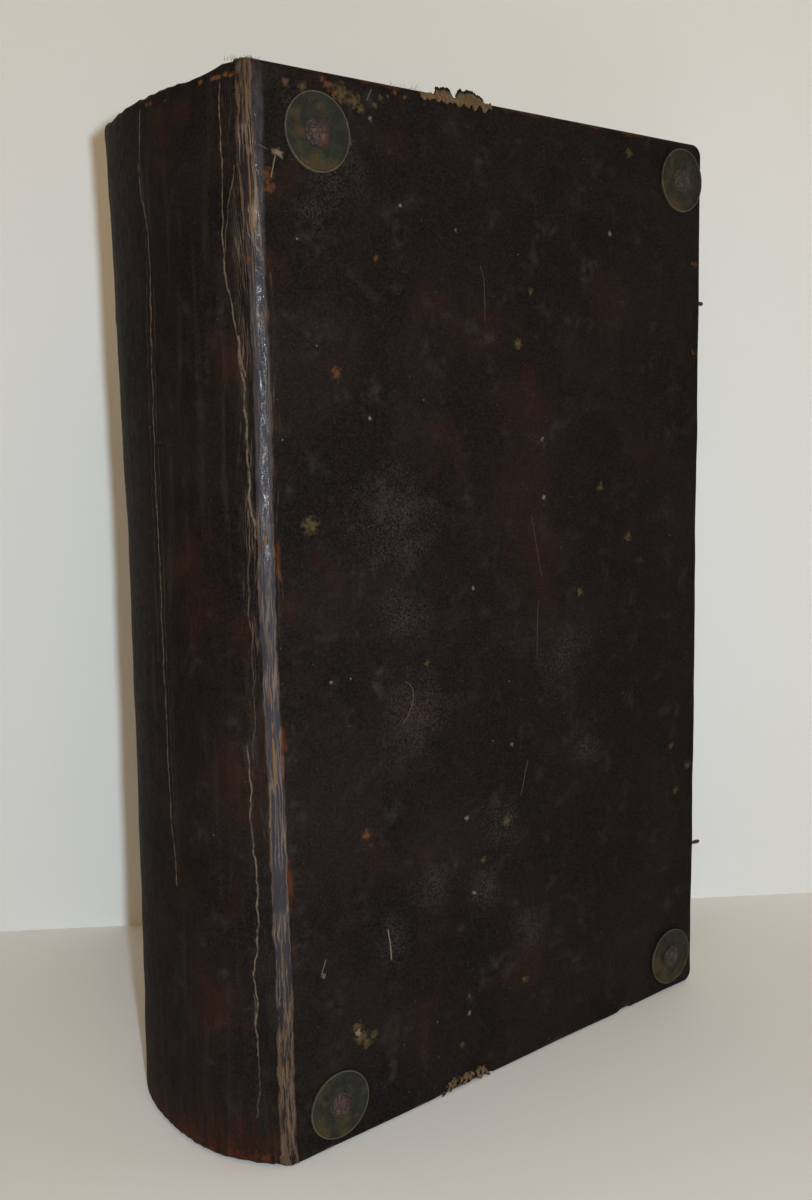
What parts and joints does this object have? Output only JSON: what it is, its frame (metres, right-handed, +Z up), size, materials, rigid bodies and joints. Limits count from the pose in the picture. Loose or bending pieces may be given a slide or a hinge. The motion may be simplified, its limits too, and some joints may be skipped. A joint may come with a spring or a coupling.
{
  "type": "antique leather book",
  "caption": "Large old book in worn dark leather over wooden boards, round smooth spine, flat metal corner discs with nails, both covers hinged at the spine.",
  "frame": {"origin": "under the middle of the whole book, on the surface that it stands on", "axes": "+Z up along the book's height, +X from the spine to the fore-edge, front cover towards -Y, back cover towards +Y"},
  "size_m": [0.2688, 0.1184, 0.4],
  "materials": {
    "cover_leather": "old calf, nearly black, worn and slightly glossy",
    "page_paper": "aged rag paper, browned at the edges",
    "pastedown_paper": "aged rag paper",
    "lining_parchment": "glued parchment",
    "tape_skin": "tawed skin",
    "endband_thread": "wound linen thread",
    "board_oak": "quarter-sawn oak",
    "disc_brass": "green-brown verdigris",
    "nail_iron": "rusted",
    "clasp_iron": "rusted"
  },
  "bodies": {
    "book_block": {"text_block": "page_paper", "spine_lining": "lining_parchment", "spine_leather": "cover_leather", "head_endband": "endband_thread", "tail_endband": "endband_thread", "sewing_tape_1": "tape_skin", "sewing_tape_2": "tape_skin", "sewing_tape_3": "tape_skin", "sewing_tape_4": "tape_skin", "sewing_tape_5": "tape_skin"},
    "front_cover": {"front_board": "board_oak", "front_cover_leather": "cover_leather", "front_pastedown": "pastedown_paper", "front_upper_joint_disc": "disc_brass", "front_upper_joint_nail": "nail_iron", "front_upper_fore_disc": "disc_brass", "front_upper_fore_nail": "nail_iron", "front_lower_joint_disc": "disc_brass", "front_lower_joint_nail": "nail_iron", "front_lower_fore_disc": "disc_brass", "front_lower_fore_nail": "nail_iron", "upper_clasp_stub": "clasp_iron", "lower_clasp_stub": "clasp_iron"},
    "back_cover": {"back_board": "board_oak", "back_cover_leather": "cover_leather", "back_pastedown": "pastedown_paper", "back_upper_joint_disc": "disc_brass", "back_upper_joint_nail": "nail_iron", "back_upper_fore_disc": "disc_brass", "back_upper_fore_nail": "nail_iron", "back_lower_joint_disc": "disc_brass", "back_lower_joint_nail": "nail_iron", "back_lower_fore_disc": "disc_brass", "back_lower_fore_nail": "nail_iron"}
  },
  "joints": [
    {"name": "front_cover_hinge", "type": "hinge", "parent": "book_block", "child": "front_cover", "pos_m": [-0.11235, -0.05615, 0.2], "axis": [0, 0, -1], "range_deg": [0, 180]},
    {"name": "back_cover_hinge", "type": "hinge", "parent": "book_block", "child": "back_cover", "pos_m": [-0.11235, 0.05615, 0.2], "axis": [0, 0, 1], "range_deg": [0, 180]}
  ]
}
